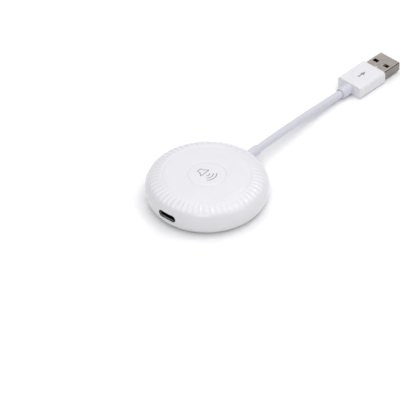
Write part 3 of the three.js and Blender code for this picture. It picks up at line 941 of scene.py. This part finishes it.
def make_port_shade_bezel():
    """Black rim that fills the casing's opening and lines its mouth: painted shade, whose black stands for
    the shade inside the opening.
    """
    width, height = 2 * PORT_HALF_WIDTH - 0.06, 2 * PORT_HALF_HEIGHT - 0.06
    inner_width, inner_height = 8.36, 2.6
    outer = rounded_rectangle(width, height, height / 2 - 0.01, 14)
    inner = rounded_rectangle(inner_width, inner_height, inner_height / 2 - 0.01, 14)

    def front(x, z, depth):
        return -math.sqrt(side_radius(z + PORT_Z) ** 2 - x * x) + depth

    shape = Shape()
    rings = [
        shape.ring((x, front(x, z, 0.3), z) for x, z in outer),
        shape.ring((x, SHELL_C_LOW.y - 0.02, z) for x, z in outer),
        shape.ring((x, SHELL_C_LOW.y - 0.02, z) for x, z in inner),
        shape.ring((x, front(x, z, 0.42), z) for x, z in inner),
    ]
    shape.loft(rings, closed=True)
    shape.move(Matrix.Translation((0, 0, PORT_Z)))
    shape.object("port_shade_bezel", materials["black_plastic"], "black_plastic")


def make_port_tongue():
    low, high = box_mm("usb_c_tongue")
    middle = (low.z + high.z) / 2
    front, back = low.y, high.y
    shape = Shape()
    section = rounded_rectangle(high.x - low.x, high.z - low.z, (high.z - low.z) / 2 - 0.05, 8)
    rings = [shape.ring((x, y, z + middle) for x, z in section) for y in (back - 1.6, back)]
    shape.bridge(*rings)
    shape.cap(rings[0])
    shape.cap(rings[1])
    block(shape, (-3.1, front, middle - 0.35), (3.1, back - 1.5, middle + 0.35))
    shape.object("port_tongue", materials["black_plastic"], "black_plastic", bevel=0.05,
                 replaces=["usb_c_tongue"])
    pads = Shape()
    for k in range(12):
        x = (k - 5.5) * 0.5
        for z in (middle + 0.34, middle - 0.37):
            block(pads, (x - 0.14, front + 0.5, z), (x + 0.14, back - 1.6, z + 0.03))
    pads.object("port_contacts", materials["contact_gold"], "contact_gold")


# ---- Cable ----

def make_cable():
    line = catmull_rom(CABLE_ROUTE, 6)
    shape = Shape()
    tube(shape, line, CABLE_RADIUS, 28)
    jacket = shape.object("cable", materials["cable_elastomer"], "cable_elastomer", sharp=60,
                          replaces=["cable_jacket"])
    return jacket, line


def lay_along_y(shape, place):
    """Turns a shape made about +Z so that its axis runs along +Y from a place."""
    return shape.move(Matrix.Translation(place) @ Matrix.Rotation(-math.pi / 2, 4, "X"))


def make_boot():
    start, length = BOOT_LOW.y, BOOT_HIGH.y - BOOT_LOW.y
    flange = BOOT_HIGH.x
    bore = CABLE_RADIUS - 0.03
    section = [
        (bore, 0), (flange - 0.1, 0), (flange, 0.1), (flange, 1.1), (flange - 0.1, 1.2), (BOOT_RADIUS, 1.2),
        (BOOT_RADIUS, 5.1), (BOOT_RADIUS, length - 0.35), (BOOT_RADIUS - 0.1, length - 0.12),
        (BOOT_RADIUS - 0.3, length), (bore, length),
    ]
    shape = Shape()
    shape.revolve(section, steps=48, closed=True)
    lay_along_y(shape, (0, start, EXIT_Z))
    return shape.object("boot", materials["cable_elastomer"], "cable_elastomer", replaces=["cable_boot"])


# ---- USB-A plug, made along +Y from the overmold's cable end and then laid in place ----

def make_collar():
    length, radius = 6.1, 2.7
    bore = CABLE_RADIUS - 0.03
    section = [(bore, -length + 0.25), (bore + 0.12, -length + 0.08), (bore + 0.25, -length)]
    section += arc((radius - 0.55, 0.55 - length), 0.55, 270, 360, 6)
    section += [(radius, -3), (radius, 0.1), (bore, 0.1)]
    shape = Shape()
    shape.revolve(section, steps=48, closed=True)
    lay_along_y(shape, (0, 0, 0)).move(PLUG_TO_WORLD)
    return shape.object("collar", materials["cable_elastomer"], "cable_elastomer", replaces=["plug_collar"])


def make_overmold():
    """A block with well-rounded long edges, eased ends and a pocket for the metal shell.

    A small tab of it fills the shell's slot.
    """
    corner, ease = 1.6, 0.35
    rows = [(-ease, 0), (-ease * 0.62, 0.04), (-ease * 0.3, 0.11), (-ease * 0.08, 0.22), (0, ease)]
    shape = Shape()
    rings = []

    def section(grow, y):
        outline = rounded_rectangle(
            OVERMOLD_WIDTH + 2 * grow, OVERMOLD_THICKNESS + 2 * grow, corner + grow, 10)
        return shape.ring((x, y, z) for x, z in outline)

    for grow, y in rows:
        rings.append(section(grow, y))
    for y in (4, 9, 14):
        rings.append(section(0, y))
    for grow, y in reversed(rows):
        rings.append(section(grow, OVERMOLD_LENGTH - y))
    pocket = rounded_rectangle(USB_A_WIDTH + 0.02, USB_A_HEIGHT + 0.02, 0.5, 10)
    for y in (OVERMOLD_LENGTH, OVERMOLD_LENGTH - 0.08, OVERMOLD_LENGTH - USB_A_HIDDEN):
        rings.append(shape.ring((x, y, z) for x, z in pocket))
    shape.loft(rings)
    shape.cap(rings[0])
    shape.cap(rings[-1])
    block(shape, (-0.74, OVERMOLD_LENGTH + 1.12, 0.3),
          (0.74, OVERMOLD_LENGTH + 1.58, USB_A_HEIGHT / 2 - 0.06))
    shape.move(PLUG_TO_WORLD)
    return shape.object("overmold", materials["plug_plastic"], "plug_plastic", replaces=["plug_overmold"])


def make_plug_mark():
    """A generic arrow that points to the metal end, printed on the overmold."""
    bottom, top = OVERMOLD_THICKNESS / 2 - 0.02, OVERMOLD_THICKNESS / 2 + 0.012
    outline = [(-0.35, 6.2), (0.35, 6.2), (0.35, 8.9), (1.15, 8.9), (0, 11.6), (-1.15, 8.9), (-0.35, 8.9)]
    shape = Shape()
    shape.prism(outline, bottom, top)
    shape.move(PLUG_TO_WORLD)
    return shape.object("plug_mark", grey_ink, "plug_plastic")


def plug_shell_outline(inset):
    """The sheet's outline with a point at each window edge, so that windows follow the rows."""
    corner = 0.45 - inset
    x, z = USB_A_WIDTH / 2 - inset, USB_A_HEIGHT / 2 - inset
    edges = (WINDOW_OUTER_X, WINDOW_INNER_X, SLOT_HALF_WIDTH)
    flats = [*edges, *(-edge for edge in reversed(edges))]
    outline = arc((x - corner, z - corner), corner, 0, 90, 4)
    outline += [(f, z) for f in flats]
    outline += arc((corner - x, z - corner), corner, 90, 180, 4)
    outline += arc((corner - x, corner - z), corner, 180, 270, 4)
    outline += [(-f, -z) for f in flats]
    outline += arc((x - corner, corner - z), corner, 270, 360, 4)
    return outline


def make_plug_shell():
    start = OVERMOLD_LENGTH
    rows = [start + y for y in (-USB_A_HIDDEN, -1, SLOT_START, SLOT_END, WINDOW_START, WINDOW_END, 9,
                                USB_A_EXPOSED)]

    def is_open(middle, y):
        x, z = middle
        in_window = WINDOW_INNER_X < abs(x) < WINDOW_OUTER_X and WINDOW_START < y - start < WINDOW_END
        in_slot = abs(x) < SLOT_HALF_WIDTH and z > 0 and SLOT_START < y - start < SLOT_END
        return abs(z) > 2 and (in_window or in_slot)

    shape = Shape()
    sheet_sleeve(shape, plug_shell_outline(0), plug_shell_outline(USB_A_WALL), rows, is_open)
    shape.move(PLUG_TO_WORLD)
    return shape.object("plug_shell", materials["nickel_steel"], "nickel_steel", bevel=0.05,
                        replaces=["usb_a_shell"])


def make_plug_insulator():
    floor = USB_A_WALL - USB_A_HEIGHT / 2 + 0.03
    half = USB_A_WIDTH / 2 - USB_A_WALL - 0.1
    rear = OVERMOLD_LENGTH - USB_A_HIDDEN
    front = OVERMOLD_LENGTH + USB_A_EXPOSED - 0.8
    top = floor + 1.85
    shape = Shape()
    block(shape, (-half, rear, floor), (half, front, top))
    block(shape, (-half, rear, top - 0.1), (half, rear + 3, USB_A_HEIGHT / 2 - USB_A_WALL - 0.05))
    for x in (-2.25, 0, 2.25):
        block(shape, (x - 0.3, rear + 2.9, top - 0.1), (x + 0.3, front - 1.2, top + 0.22))
    shape.move(PLUG_TO_WORLD)
    return shape.object("plug_insulator", materials["plug_insulator"], "plug_insulator", bevel=0.08,
                        replaces=["usb_a_insulator"])


# ---- Assembly ----

make_housing()
make_base_cover()
make_foot_ring()
make_button()
make_top_mark()
make_port_shade_bezel()
make_port_shell()
make_port_tongue()

cable, cable_line = make_cable()
boot = make_boot()
collar = make_collar()
overmold = make_overmold()
plug_shell = make_plug_shell()
insulator = make_plug_insulator()
plug_mark = make_plug_mark()

# Every CAD node takes its slot's material. Those that a piece replaces stay unseen.
for entry in frame["record"]["subparts"]:
    node = frame["nodes"][entry["node"]]
    node.data.materials.clear()
    node.data.materials.append(materials[entry["material_slot"]])
